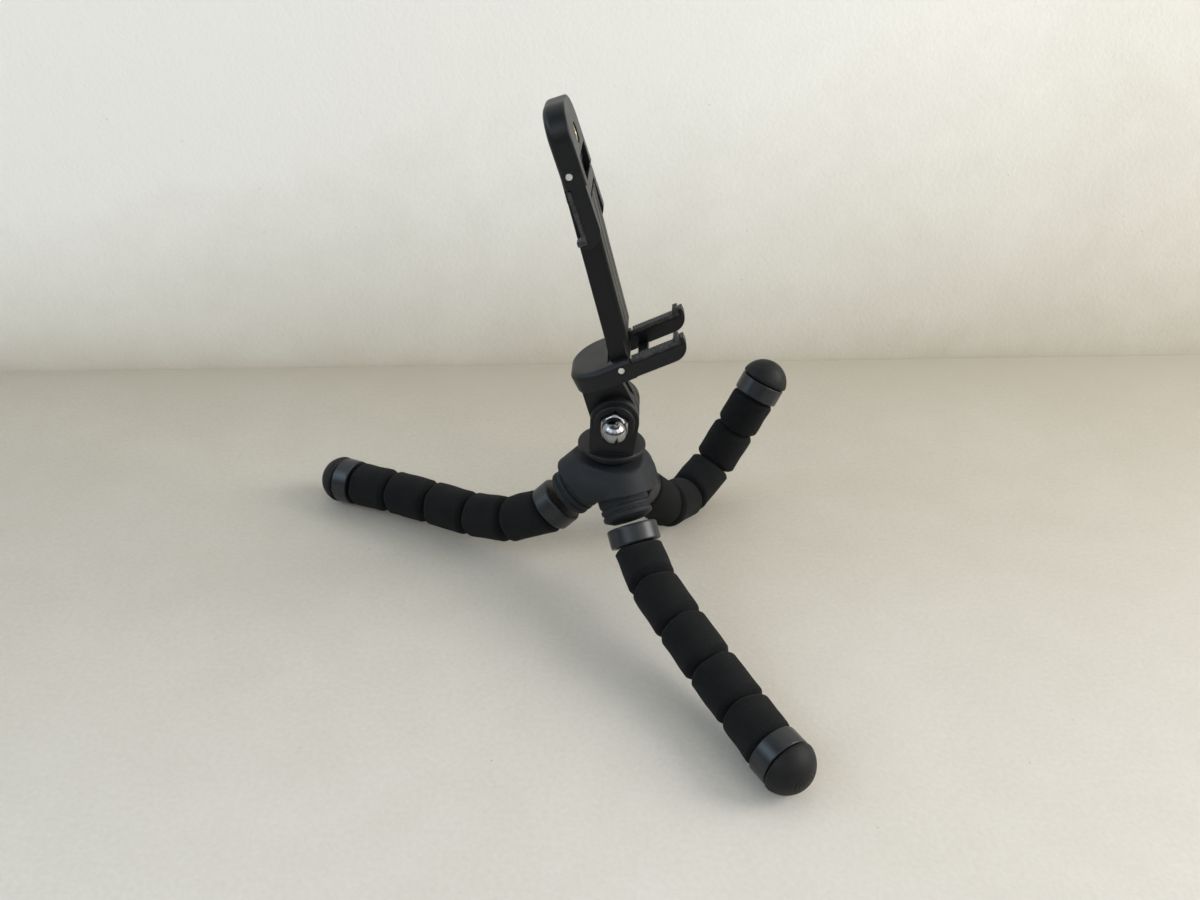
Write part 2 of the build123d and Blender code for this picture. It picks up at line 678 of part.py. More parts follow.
def all_parts():
    """Every node's shape or shapes, by name."""
    fixed, lower, upper = clamp_plane(), lower_jaw_plane(), upper_jaw_plane()
    parts = {
        "hub_body": hub_body(),
        "leg_core_roots": wire_roots(),
        "pan_screw": pan_screw(),
        "pan_base": pan_base(),
        "pivot_bolt": pivot_bolt(),
        "acorn_nut": acorn_nut(),
        "mount_neck": placed(lower, mount_neck()),
        "bottom_jaw": placed(lower, jaw_body(LOWER_PLATE_BACK)),
        "bottom_jaw_pads": placed(lower, jaw_pads()),
        "bottom_jaw_pin": placed(lower, jaw_pin()),
        "rail": placed(fixed, rail()),
        "rail_cover": placed(fixed, rail_cover()),
        "slider_bar": placed(fixed, slider_bar()),
        "slider_springs": placed(fixed, slider_springs()),
        "top_jaw": placed(upper, jaw_body(UPPER_PLATE_BACK)),
        "top_jaw_pads": placed(upper, jaw_pads()),
        "top_jaw_pin": placed(upper, jaw_pin()),
        "top_jaw_insert": placed(upper, insert_piece()),
    }
    for leg in LEG_AZIMUTHS:
        lift = settled_lift(leg)
        print(leg, "leg lifted by", round(lift, 4), "degrees")
        for name, shape in leg_parts(leg, lift).items():
            parts[f"{leg}_leg_{name}"] = shape
    return parts


def solids_of(shape):
    """The separate solids of a shape or list of shapes, as one exportable thing."""
    pieces = shape if isinstance(shape, list) else [shape]
    solids = [solid for piece in pieces for solid in piece.solids()]
    return solids[0] if len(solids) == 1 else Compound(children=solids)


def main():
    """Builds every piece and writes one file for each."""
    os.makedirs("parts", exist_ok=True)
    for name, shape in all_parts().items():
        export_step(solids_of(shape), f"parts/{name}.step")


if __name__ == "__main__":
    main()
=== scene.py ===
import json
import math
import bmesh
import bpy
import numpy as np
from mathutils import Matrix, Vector


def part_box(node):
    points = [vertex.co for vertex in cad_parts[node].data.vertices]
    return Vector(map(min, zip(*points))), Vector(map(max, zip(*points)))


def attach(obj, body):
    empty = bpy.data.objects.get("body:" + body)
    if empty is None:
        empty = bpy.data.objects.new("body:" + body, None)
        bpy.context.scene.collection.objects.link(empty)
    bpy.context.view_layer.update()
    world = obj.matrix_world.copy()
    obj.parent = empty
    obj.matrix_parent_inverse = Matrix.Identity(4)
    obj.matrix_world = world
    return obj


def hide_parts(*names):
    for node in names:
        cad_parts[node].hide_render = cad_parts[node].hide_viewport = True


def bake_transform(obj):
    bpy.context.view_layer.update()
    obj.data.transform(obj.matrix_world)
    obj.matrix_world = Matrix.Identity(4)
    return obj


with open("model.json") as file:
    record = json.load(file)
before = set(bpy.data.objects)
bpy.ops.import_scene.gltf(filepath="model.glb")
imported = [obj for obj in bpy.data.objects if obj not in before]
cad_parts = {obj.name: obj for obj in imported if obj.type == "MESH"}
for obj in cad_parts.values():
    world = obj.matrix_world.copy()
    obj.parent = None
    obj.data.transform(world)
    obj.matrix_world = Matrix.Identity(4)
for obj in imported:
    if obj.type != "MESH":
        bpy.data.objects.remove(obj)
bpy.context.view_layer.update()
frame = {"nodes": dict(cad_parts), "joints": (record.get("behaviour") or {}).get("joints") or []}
parts = frame["nodes"]
joints = {joint["name"]: joint for joint in frame["joints"]}
LEGS = ("front", "left", "rear")


# The view: a camera held about 370 mm away, looking down at the tripod from the side of its tilt nut.
# Its place and turn were worked out from the legs, the hub and the clamp in the photograph.
EYE = (0.001995, -0.295347, 0.225351)
YAW, PITCH, ROLL = (math.radians(a) for a in (-1.083, 31.248, -2.5))
FOCAL_PIXELS, FRAME_PIXELS, SENSOR = 1100.0, 1200.0, 36.0
forward = Vector((math.sin(YAW) * math.cos(PITCH), math.cos(YAW) * math.cos(PITCH), -math.sin(PITCH)))
level = Vector((math.cos(YAW), -math.sin(YAW), 0.0))
right = math.cos(ROLL) * level + math.sin(ROLL) * forward.cross(level)
camera_data = bpy.data.cameras.new("camera")
camera_data.sensor_width = SENSOR
camera_data.lens = SENSOR * FOCAL_PIXELS / FRAME_PIXELS
camera_data.clip_start = 0.01
camera = bpy.data.objects.new("camera", camera_data)
bpy.context.scene.collection.objects.link(camera)
turn = Matrix((right, right.cross(forward), -forward)).transposed()
camera.matrix_world = Matrix.Translation(EYE) @ turn.to_4x4()
bpy.context.scene.camera = camera
bpy.context.scene.view_settings.view_transform = "Standard"


# The painted board that the tripod stands on, and the wall behind it, which it meets at a slant.
# Both are matt off-white with the faint unevenness of brushed paint and a little dust, and both carry painted
# shade that darkens them towards the corner where they meet.
class Reading:
    """One output of a shader node. Arithmetic on a number adds Math nodes, and on a vector Vector Math."""

    def __init__(self, finish, socket):
        self.finish, self.socket = finish, socket
        self.is_vector = socket.type == "VECTOR"

    def worked(self, operation, first, second):
        """A Math or Vector Math node on two terms."""
        vector = any(getattr(term, "is_vector", False) for term in (first, second))
        kind = "ShaderNodeVectorMath" if vector else "ShaderNodeMath"
        if vector:
            first, second = ((t,) * 3 if isinstance(t, (int, float)) else t for t in (first, second))
        return self.finish.node(kind, {"operation": operation}, {0: first, 1: second})

    def __add__(self, other):
        return self.worked("ADD", self, other)

    def __radd__(self, other):
        return self.worked("ADD", other, self)

    def __sub__(self, other):
        return self.worked("SUBTRACT", self, other)

    def __rsub__(self, other):
        return self.worked("SUBTRACT", other, self)

    def __mul__(self, other):
        return self.worked("MULTIPLY", self, other)

    def __rmul__(self, other):
        return self.worked("MULTIPLY", other, self)

    def __pow__(self, other):
        return self.worked("POWER", self, other)

    def above(self, edge, softness):
        """0 below edge - softness, 1 above edge + softness, and smooth between them."""
        span = {"Value": self, "From Min": edge - softness, "From Max": edge + softness}
        return self.finish.node("ShaderNodeMapRange", {"interpolation_type": "SMOOTHSTEP"}, span)


class Finish:
    """A material being mixed: node() adds any node, and surface() ends it in its shader."""

    def __init__(self, name):
        self.material = bpy.data.materials.new(name)
        self.material.use_nodes = True
        self.tree = self.material.node_tree
        self.tree.nodes.clear()
        self.place = self.node("ShaderNodeTexCoord", output="Object")

    def node(self, kind, settings=None, inputs=None, output=0):
        """A node of this kind: its settings go on first, then the values or links of its sockets."""
        made = self.tree.nodes.new(kind)
        for name, value in (settings or {}).items():
            setattr(made, name, value)
        for name, value in (inputs or {}).items():
            if isinstance(value, Reading):
                self.tree.links.new(value.socket, made.inputs[name])
            else:
                made.inputs[name].default_value = value
        return Reading(self, made.outputs[output])

    def along(self, x, y, z):
        """How far the place lies along a direction, in metres: their dot product."""
        terms = {0: self.place, 1: (x, y, z)}
        return self.node("ShaderNodeVectorMath", {"operation": "DOT_PRODUCT"}, terms, "Value")

    def mottle(self, scale, detail=2.0, place=None):
        """Soft noise around 0.5, with this many features to the metre."""
        look = {"Vector": place or self.place, "Scale": scale, "Detail": detail}
        return self.node("ShaderNodeTexNoise", None, look)

    def specks(self, scale, size, share, place=None):
        """1 in round specks of this size, in cells, kept in this share of the cells, and 0 elsewhere."""
        cell = {"Vector": place or self.place, "Scale": scale}
        near = self.node("ShaderNodeTexVoronoi", None, cell, "Distance")
        chance = self.node("ShaderNodeTexVoronoi", None, cell, "Color")
        pick = self.node("ShaderNodeSeparateColor", None, {0: chance}, 0)
        return (1 - near.above(size, size * 0.3)) * pick.above(1 - share, 0.002)

    def blended(self, amount, first, second):
        """The first colour where amount is 0, and the second where it is 1."""
        first, second = (c if isinstance(c, Reading) else (*c, 1.0) for c in (first, second))
        return self.node("ShaderNodeMix", {"data_type": "RGBA"}, {0: amount, 6: first, 7: second}, 2)

    def relief(self, height, depth, under=None):
        """A normal that shows a height from 0 to 1 as relief of this depth, in metres."""
        inputs = {"Height": height, "Distance": depth, "Strength": 1.0}
        if under is not None:
            inputs["Normal"] = under
        return self.node("ShaderNodeBump", None, inputs)

    def surface(self, clear_back=False, **sockets):
        """Ends the material in a principled shader, whose sockets are named with _ for a space. A sheet of
        the set may be clear on its back, so that it hides nothing from the far side."""
        named = {name.replace("_", " "): value for name, value in sockets.items()}
        shader = self.node("ShaderNodeBsdfPrincipled", None, named)
        if clear_back:
            back = self.node("ShaderNodeNewGeometry", output="Backfacing")
            clear = self.node("ShaderNodeBsdfTransparent")
            shader = self.node("ShaderNodeMixShader", None, {0: back, 1: shader, 2: clear})
        end = self.tree.nodes.new("ShaderNodeOutputMaterial")
        self.tree.links.new(shader.socket, end.inputs["Surface"])
        return self.material


def paint(name, shade, pale, grain, amount, clear_back=False):
    """Matt emulsion, from shade where amount is 0 to pale where it is 1: cloudy by a few hundredths and
    grainy, with fine roller stipple and a little dust. Amount is worked out from the place on the sheet, and
    its slow ramp is painted shade."""
    mix = Finish(name)
    cloud = (mix.mottle(7, 4) - 0.5) * 0.35 + (mix.mottle(60, 3) - 0.5) * 0.20
    tone = mix.blended(amount(mix) + (cloud + (mix.mottle(650, 3) - 0.5) * grain), shade, pale)
    tone = mix.blended(mix.specks(190, 0.06, 0.08) * 0.40, tone, (0.30, 0.28, 0.24))
    tone = mix.blended(mix.specks(75, 0.022, 0.12) * 0.60, tone, (0.20, 0.18, 0.15))
    stipple = mix.mottle(700, 3) * 0.6 + mix.mottle(170, 2) * 0.4
    rough = 0.55 + mix.mottle(35, 2) * 0.15
    return mix.surface(clear_back, Base_Color=tone, Roughness=rough, Normal=mix.relief(stipple, 0.00018))


def staged(name, corners, material):
    """A flat four-cornered sheet of the set, which isn't part of the object."""
    mesh = bpy.data.meshes.new(name)
    mesh.from_pydata(corners, [], [(0, 1, 2, 3)])
    mesh.materials.append(material)
    sheet = bpy.data.objects.new(name, mesh)
    bpy.context.scene.collection.objects.link(sheet)


EDGE, EDGE_SLANT, FAR, WALL_FOOT = 0.1527, 0.1473, 2.4, -0.3
SHADED, BOARD_SHADE_RISE, WALL_SHADE_RISE, WALL_SHADE_FALL = 0.02, 2.9, 8.0, 1.1
# Painted shade: the board is at its darkest tone just in front of the wall and pales over the next 0.35 m or
# so towards the front; the wall is darker towards its foot and towards its right.
board = paint("board_paint_and_shade", (0.425, 0.388, 0.318), (0.625, 0.598, 0.556), 0.40,
              lambda mix: (EDGE - SHADED + mix.along(EDGE_SLANT, -1.0, 0.0)) * BOARD_SHADE_RISE)
wall = paint("wall_paint_and_shade", (0.53, 0.49, 0.40), (0.93, 0.92, 0.87), 0.12,
             lambda mix: (mix.along(0.0, 0.0, WALL_SHADE_RISE) ** 0.5) * (1 - mix.along(WALL_SHADE_FALL, 0.0, 0.0)),
             clear_back=True)
left_end, right_end = ((x, EDGE + EDGE_SLANT * x) for x in (-FAR, FAR))
staged("board", [(-FAR, -FAR, 0), (FAR, -FAR, 0), (*right_end, 0), (*left_end, 0)], board)
staged("wall", [(*left_end, WALL_FOOT), (*right_end, WALL_FOOT), (*right_end, FAR), (*left_end, FAR)], wall)


# Daylight: a strong window on the right and cooler, weaker ones on the left and behind the camera.
# Their powers were fitted to the shadows that the legs throw on the board in the photograph.
def window(name, place, size, watts, colour, target=(0.0, 0.0, 0.03)):
    """A square lamp that faces the target."""
    lamp_data = bpy.data.lights.new(name, "AREA")
    lamp_data.shape, lamp_data.size = "SQUARE", size
    lamp_data.energy, lamp_data.color = watts, colour
    lamp = bpy.data.objects.new(name, lamp_data)
    bpy.context.scene.collection.objects.link(lamp)
    aim = (Vector(target) - Vector(place)).to_track_quat("-Z", "Y")
    lamp.matrix_world = Matrix.LocRotScale(Vector(place), aim, None)


window("right_window", (1.2, 0.0, 0.7), 0.7, 15.4, (1.0, 0.985, 0.955))
window("room_window", (1.0, -0.9, 0.9), 0.9, 6.0, (1.0, 0.97, 0.93))
window("left_window", (-1.1, -0.25, 0.75), 0.6, 5.0, (0.60, 0.80, 1.0))
window("hall_window", (-0.8, -1.0, 0.9), 0.8, 5.1, (0.90, 0.95, 1.0))
window("ceiling", (0.25, 0.10, 1.1), 0.7, 0.8, (1.0, 0.99, 0.97))
window("doorway", (0.1, -1.2, 0.9), 0.9, 2.4, (0.97, 0.99, 1.0), (-0.1, 0.2, 0.16))
room = bpy.data.worlds.new("dim_room")
room.use_nodes = True
room.node_tree.nodes["Background"].inputs["Color"].default_value = (0.90, 0.95, 1.0, 1.0)
room.node_tree.nodes["Background"].inputs["Strength"].default_value = 0.10
bpy.context.scene.world = room


# The hub: one black injection-moulded bell with three hooded, ribbed necks, its skirt spark-eroded satin.
# Its edges are broken by the mould and rubbed a little paler where the tripod is handled.
def moulded(name, tone, gloss, grain, rub, shine):
    """Black plastic: tone drifts slowly, gloss drifts with it, and a fine erosion grain lies on soft flow
    ripples. The edge mask is one less the cosine between the rounded normal and the flat one."""
    mix = Finish(name)
    soft = mix.node("ShaderNodeBevel", {"samples": 4}, {"Radius": 0.00045})
    flat = mix.node("ShaderNodeNewGeometry", output="Normal")
    apart = mix.node("ShaderNodeVectorMath", {"operation": "DOT_PRODUCT"}, {0: soft, 1: flat}, "Value")
    edge = (1 - apart).above(0.10, 0.09) * mix.mottle(700, 3).above(0.5, 0.18)
    drift = mix.mottle(130, 3).above(0.5, 0.3)
    paler = tuple(c * 1.35 for c in tone)
    worn = tuple(c * 3.0 + 0.006 for c in tone)
    colour = mix.blended(edge * rub, mix.blended(drift, tone, paler), worn)
    colour = mix.blended(mix.specks(420, 0.045, 0.05) * 0.35, colour, (0.16, 0.155, 0.14))
    rough = gloss + drift * 0.08 + mix.mottle(2600, 1) * 0.06
    fine = mix.mottle(5200, 2) * 0.7 + mix.mottle(1500, 2) * 0.3
    lift = mix.relief(fine, 0.000035 * grain, mix.relief(mix.mottle(75, 1), 0.00025, soft))
    return mix.surface(Base_Color=colour, Roughness=rough, Normal=lift, Specular_IOR_Level=shine)


def dress(material, *names):
    """Gives these CAD nodes this material in their slots."""
    for name in names:
        slots = parts[name].data.materials
        slots.clear()
        slots.append(material)


def points_of(name):
    """The corners of a CAD node's mesh as rows."""
    mesh = parts[name].data
    rows = np.empty(len(mesh.vertices) * 3)
    mesh.vertices.foreach_get("co", rows)
    return rows.reshape(-1, 3)


def unit(vector):
    """The vector over its own length."""
    return vector / np.linalg.norm(vector)


SKIN_GRAIN, SKIN_ROUNDS, EASE_IN, EASE_OUT, MERGE = 0.00034, 60, 0.5, -0.515, 1e-6
RIBS_HIGH, RIBS_REACH, RIBS_EDGE, RIBS_KEPT = 0.0072, 0.0093, 0.0012, 0.93


def blended_skin(name, node, keep):
    """A closed skin over a CAD node, re-meshed in even squares, whose corners are blended as a mould maker
    blends them: round by round each point moves halfway to the mean of its neighbours, and back a little
    further, which evens out creases without shrinking the whole. Keep is 1 where a point stays as it was."""
    source = parts[node].data.copy()
    form = bpy.data.objects.new(name, source)
    bpy.context.scene.collection.objects.link(form)
    mend = bmesh.new()
    mend.from_mesh(source)
    bmesh.ops.remove_doubles(mend, verts=mend.verts, dist=MERGE)
    mend.to_mesh(source)
    mend.free()
    even = form.modifiers.new("even", "REMESH")
    even.mode, even.voxel_size = "VOXEL", SKIN_GRAIN
    shown = form.evaluated_get(bpy.context.evaluated_depsgraph_get())
    form.data = bpy.data.meshes.new_from_object(shown)
    form.modifiers.clear()
    mesh = form.data
    count = len(mesh.vertices)
    place = np.empty(count * 3)
    mesh.vertices.foreach_get("co", place)
    place = place.reshape(-1, 3)
    edges = np.empty(len(mesh.edges) * 2, int)
    mesh.edges.foreach_get("vertices", edges)
    edges = edges.reshape(-1, 2)
    here, there = np.concatenate([edges, edges[:, ::-1]]).T
    joined = np.bincount(here, minlength=count)[:, None]
    free = 1 - keep(place)
    for step in np.tile([EASE_IN, EASE_OUT], SKIN_ROUNDS):
        mean = np.stack([np.bincount(here, place[there, k], count) for k in range(3)], 1) / joined
        place = place + step * free[:, None] * (mean - place)
    mesh.vertices.foreach_set("co", place.reshape(-1))
    mesh.materials.clear()
    mesh.update()
    mesh.shade_smooth()
    return form


def near_ribs(place):
    """Nearly 1 on the three ribbed necks and their grooves and 0 on the bell, and it falls off evenly where
    the ribs end."""
    keep = np.zeros(len(place))
    for leg in LEGS:
        tip = np.array(joints[f"{leg}_leg_swing"]["pos_m"])
        up = unit(tip - np.array(joints[f"{leg}_leg_lift_1"]["pos_m"]))
        height = (place - tip) @ up
        aside = np.linalg.norm(place - tip - height[:, None] * up, axis=1)
        beside = np.clip((RIBS_HIGH - height) / RIBS_EDGE, 0, 1) * (aside < RIBS_REACH)
        keep = np.maximum(keep, beside)
    return keep * RIBS_KEPT


hub_plastic = moulded("hub_plastic", (0.0095, 0.0112, 0.0135), 0.56, 1.0, 0.5, 0.26)
hub_skin = blended_skin("hub_skin", "hub_body", near_ribs)
hub_skin.data.materials.append(hub_plastic)
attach(hub_skin, "hub")
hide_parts("hub_body")


# The core wires: soft annealed wire with a dull black skin, which holds each bend that the leg is given.
# They are moulded into the hub, run down through the sleeves, and are seen only in the gaps at the collars.
SLEEVES = 5
wire_mix = Finish("annealed_wire")
draw_marks = wire_mix.mottle(900, 2)
wire_tone = wire_mix.blended(draw_marks, (0.012, 0.012, 0.013), (0.035, 0.033, 0.03))
wire_black = wire_mix.surface(Base_Color=wire_tone, Roughness=0.45 + draw_marks * 0.2, Metallic=0.5,
                              Normal=wire_mix.relief(draw_marks, 0.00004))
dress(wire_black, "leg_core_roots", *(f"{leg}_leg_core_{i}" for leg in LEGS for i in range(SLEEVES + 1)))


# The collars at the tops of the legs and the rings at their ends: plain round mouldings in the hub's black,
# glossier than it is. The collars turn on the wire, and the rings close the foam and hold the feet.
collar_plastic = moulded("collar_plastic", (0.0080, 0.0095, 0.0113), 0.27, 0.5, 0.4, 0.43)
dress(collar_plastic, *(f"{leg}_leg_{piece}" for leg in LEGS for piece in ("collar", "end_ring")))


# The foam sleeves: five to a leg, cut from black closed-cell foam tube and threaded on the wire.
# Each is squeezed flush against its neighbours.
SLEEVE_R, BORE_R = 0.0075, 0.0031
SHOULDER, CORNER = 0.0029, 0.0020
HALF_GAP, OFF_BOARD = 0.00002, 0.00003
SWELL, UNEVEN = 0.0004, 0.00006
BEND_SHARE = 0.72
PRESSED, WANDER, TIGHTEST, LOOSEST = 0.9, 0.08, 0.75, 1.35
AROUND, ALONG, FACE_ROWS, ROUND_ROWS = 112, 26, 6, 9


def course_of(leg):
    """The leg's bend points from its neck to its end ring, and the way that the ring faces.
    The last point is where the last run's line meets the plane of the ring's near face."""
    names = [f"{leg}_leg_swing"] + [f"{leg}_leg_lift_{i}" for i in range(1, SLEEVES + 1)]
    places = [np.array(joints[name]["pos_m"]) for name in names]
    ring_run = unit(points_of(f"{leg}_leg_foot").mean(0) - points_of(f"{leg}_leg_end_ring").mean(0))
    wire = points_of(f"{leg}_leg_core_{SLEEVES}")
    run = unit((wire.min(0) + wire.max(0)) / 2 - places[-1])
    reach = ((points_of(f"{leg}_leg_end_ring") - places[-1]) @ ring_run).min() / (run @ ring_run)
    return places + [places[-1] + run * reach], ring_run


def lofted(name, grid, close_rows):
    """A mesh from rows of points that run round the piece: each four neighbours make a face, the rows close
    on themselves, and where close_rows is set the last row joins the first, so there is no edge left."""
    rows, columns = grid.shape[:2]
    index = np.arange(rows * columns).reshape(rows, columns)
    beside = np.roll(index, -1, axis=1)
    if close_rows:
        first, second = (index, beside), (np.roll(index, -1, axis=0), np.roll(beside, -1, axis=0))
    else:
        first, second = (index[:-1], beside[:-1]), (index[1:], beside[1:])
    quads = np.stack([first[0], first[1], second[1], second[0]], -1).reshape(-1, 4)
    mesh = bpy.data.meshes.new(name)
    mesh.vertices.add(rows * columns)
    mesh.vertices.foreach_set("co", grid.reshape(-1))
    mesh.loops.add(quads.size)
    mesh.loops.foreach_set("vertex_index", quads.reshape(-1))
    mesh.polygons.add(len(quads))
    mesh.polygons.foreach_set("loop_start", np.arange(len(quads)) * 4)
    mesh.update(calc_edges=True)
    piece = bpy.data.objects.new(name, mesh)
    bpy.context.scene.collection.objects.link(piece)
    return sealed(piece)


def sealed(piece):
    """Merges corners that fall together, drops faces with no area and turns the rest outwards."""
    mend = bmesh.new()
    mend.from_mesh(piece.data)
    bmesh.ops.remove_doubles(mend, verts=mend.verts, dist=MERGE)
    bmesh.ops.dissolve_degenerate(mend, edges=mend.edges, dist=1e-7)
    bmesh.ops.recalc_face_normals(mend, faces=mend.faces)
    mend.to_mesh(piece.data)
    mend.free()
    piece.data.shade_smooth()
    return piece


def sleeve_rows():
    """The sleeve's closed outline as columns: how far out it lies, how much of its shoulder's drop it takes,
    and the share of the way to the far end. Face, shoulder, side, far shoulder, far face, and back through
    the bore. Out runs from 0 at the bore to 1 at the shoulder's foot, then to 2 on the side. The drop along
    the shoulder is 1 less the cosine to the power 1.5, for a crisper corner than a quarter circle's."""
    swing = np.radians(np.linspace(0, 90, ROUND_ROWS))
    out = np.concatenate([np.linspace(0, 1, FACE_ROWS)[:-1], 1 + np.sin(swing)])
    drop = np.concatenate([np.zeros(FACE_ROWS - 1), 1 - np.cos(swing) ** 1.5])
    side = (1 - np.cos(np.pi * np.linspace(0, 1, ALONG)[1:-1])) / 2
    bore = np.linspace(1, 0, FACE_ROWS)[1:-1]
    outs = np.concatenate([out, np.full(len(side), 2.0), out[::-1], np.zeros(len(bore))])
    drops = np.concatenate([drop, np.ones(len(side)), drop[::-1], np.zeros(len(bore))])
    share = np.concatenate([np.zeros(len(out)), side, np.ones(len(out)), bore])
    return outs[:, None], drops[:, None], share[:, None]


def foam_sleeve(name, start, end, start_face, end_face, seed):
    """A sleeve between two bend points. At angle a round the run, its end faces lie where the line at that
    radius meets the mitre plane, and points between are shared out along the run. The shoulder is a quarter
    oval, deeper inwards than it is long. Where the two faces lean together it is tighter and the side swells
    by a half sine. Slow waves leave it as uneven as cut foam, and it lies flat where it would reach into the
    board."""
    run = unit(end - start)
    length = np.linalg.norm(end - start)
    a = np.linspace(0, 2 * np.pi, AROUND, endpoint=False)[None, :]
    across = unit(np.cross(run, [0.3, 0.2, 1.0]))
    other = np.cross(run, across)
    outward = np.cos(a)[..., None] * across + np.sin(a)[..., None] * other
    lean_start = -(outward @ start_face) / (run @ start_face)
    lean_end = -(outward @ end_face) / (run @ end_face)
    outs, drops, share = sleeve_rows()
    near = share < 0.5
    press = np.where(near, lean_start, -lean_end)
    wander = np.sin(2 * a + seed) + np.sin(5 * a - 1.7 * seed + 9 * near)
    shoulder = SHOULDER * np.clip(1 - PRESSED * press + WANDER * wander, TIGHTEST, LOOSEST)
    squeeze = SLEEVE_R * (lean_start - lean_end) / length
    swell = np.sin(np.pi * share) ** 0.6 * SWELL * squeeze
    wave = UNEVEN * (np.sin(3 * a + seed + 4 * share) + np.sin(2 * a - 1.7 * seed + 7 * share))
    face_r = SLEEVE_R - shoulder
    radius = BORE_R + (face_r - BORE_R) * np.minimum(outs, 1) + shoulder * np.maximum(outs - 1, 0)
    radius = radius + (swell + wave) * (outs > 1.999) * np.sin(np.pi * share) ** 0.35
    corner = shoulder * CORNER / SHOULDER
    first = radius * lean_start + corner * drops + HALF_GAP
    last = length + radius * lean_end - corner * drops - HALF_GAP
    along = first * (1 - share) + last * share
    grid = start + along[..., None] * run + radius[..., None] * outward
    grid[..., 2] = np.maximum(grid[..., 2], OFF_BOARD)
    return lofted(name, grid, True)


def foam_skin():
    """Closed-cell foam: near-black, dead matt, pitted by small cells of two sizes, with grey lint and a few
    pale fibres, which are specks stretched along slanting lines."""
    mix = Finish("black_foam")
    cells = mix.node("ShaderNodeTexVoronoi", None, {"Vector": mix.place, "Scale": 2300.0}, "Distance")
    pores = mix.node("ShaderNodeTexVoronoi", None, {"Vector": mix.place, "Scale": 5200.0}, "Distance")
    pits = cells.above(0.42, 0.3) * 0.6 + pores.above(0.4, 0.3) * 0.4
    cloud = mix.mottle(160, 4).above(0.5, 0.22)
    colour = mix.blended(cloud, (0.0022, 0.0028, 0.0031), (0.0052, 0.0060, 0.0064))
    colour = mix.blended(pits * 0.40, colour, (0.012, 0.0125, 0.013))
    stretch = {"Vector": mix.place, "Rotation": (0.6, 0.9, 0.4), "Scale": (1.0, 1.0, 0.13)}
    slanted = mix.node("ShaderNodeMapping", None, stretch)
    fibres = mix.specks(330, 0.035, 0.035, slanted)
    lint = mix.specks(520, 0.05, 0.03)
    colour = mix.blended(lint * 0.25 + fibres * 0.45, colour, (0.30, 0.29, 0.27))
    height = pits * 0.75 + mix.mottle(1100, 3) * 0.25
    return mix.surface(Base_Color=colour, Roughness=0.9, Specular_IOR_Level=0.16,
                       Normal=mix.relief(height, 0.00024), Sheen_Weight=0.02, Sheen_Roughness=0.5)


foam = foam_skin()
for leg in LEGS:
    bends, ring_run = course_of(leg)
    runs = [unit(b - a) for a, b in zip(bends, bends[1:])]
    for i in range(1, SLEEVES + 1):
        start_face = runs[0] if i == 1 else unit(runs[i - 1] + runs[i])
        end_face = ring_run if i == SLEEVES else unit(runs[i] + runs[i + 1])
        sleeve = foam_sleeve(f"{leg}_foam_sleeve_{i}", bends[i], bends[i + 1], start_face, end_face,
                             2.3 * i + LEGS.index(leg))
        sleeve.data.materials.append(foam)
        slant = SLEEVE_R * np.linalg.norm(np.cross(start_face, runs[i])) / (start_face @ runs[i])
        bends[i] + runs[i] * slant
        bends[i] + (bends[i + 1] - bends[i]) * BEND_SHARE
        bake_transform(sleeve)
        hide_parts(f"{leg}_leg_foam_{i}")


# The feet: soft rubber domes pushed into the end rings by a stem, with a thin groove where they meet the
# ring and faint turned steps round the tip, where the mould's insert was.
STEM_R, STEM, STEM_EDGE = 0.005, 0.0026, 0.0004
FOOT_R, SKIRT, DOME, DOME_ROWS = 0.0080, 0.0014, 0.0063, 70
STEPS_R, STEPS_EDGE, STEP_PITCH, STEP_RISE = 0.0042, 0.0001, 0.00105, 0.00014


def foot_profile():
    """Radius and height over the ring: stem, a groove that widens out to the skirt, the skirt, and a dome
    that is a sphere through the skirt's edge and the tip. The dome's middle has four shallow grooves round
    it."""
    ball = (FOOT_R ** 2 + DOME ** 2) / (2 * DOME)
    radius = np.linspace(FOOT_R, 0, DOME_ROWS)
    height = SKIRT + DOME - ball + np.sqrt(ball ** 2 - radius ** 2)
    ring = np.clip((STEPS_R - radius) / STEPS_EDGE, 0, 1) * (radius / STEPS_R)
    height = height - STEP_RISE * ring * (np.sin(radius * 2 * np.pi / STEP_PITCH) > 0)
    head_r = [0.0, STEM_R - STEM_EDGE, STEM_R, STEM_R, 0.0070, 0.0072, 0.0077, FOOT_R, FOOT_R]
    head_z = [-STEM, -STEM, -STEM + STEM_EDGE, 0.0, 0.00002, 0.00035, 0.00045, 0.00075, SKIRT - 0.0001]
    return np.concatenate([head_r, radius]), np.concatenate([head_z, height])


def turned_piece(name, base, run, radius, height):
    """A profile of radius against height, carried round the axis through base along run, its two ends at the
    axis."""
    a = np.linspace(0, 2 * np.pi, AROUND, endpoint=False)
    across = unit(np.cross(run, [0.3, 0.2, 1.0]))
    outward = np.cos(a)[:, None] * across + np.sin(a)[:, None] * np.cross(run, across)
    grid = base + height[:, None, None] * run + radius[:, None, None] * outward[None]
    return lofted(name, grid, False)


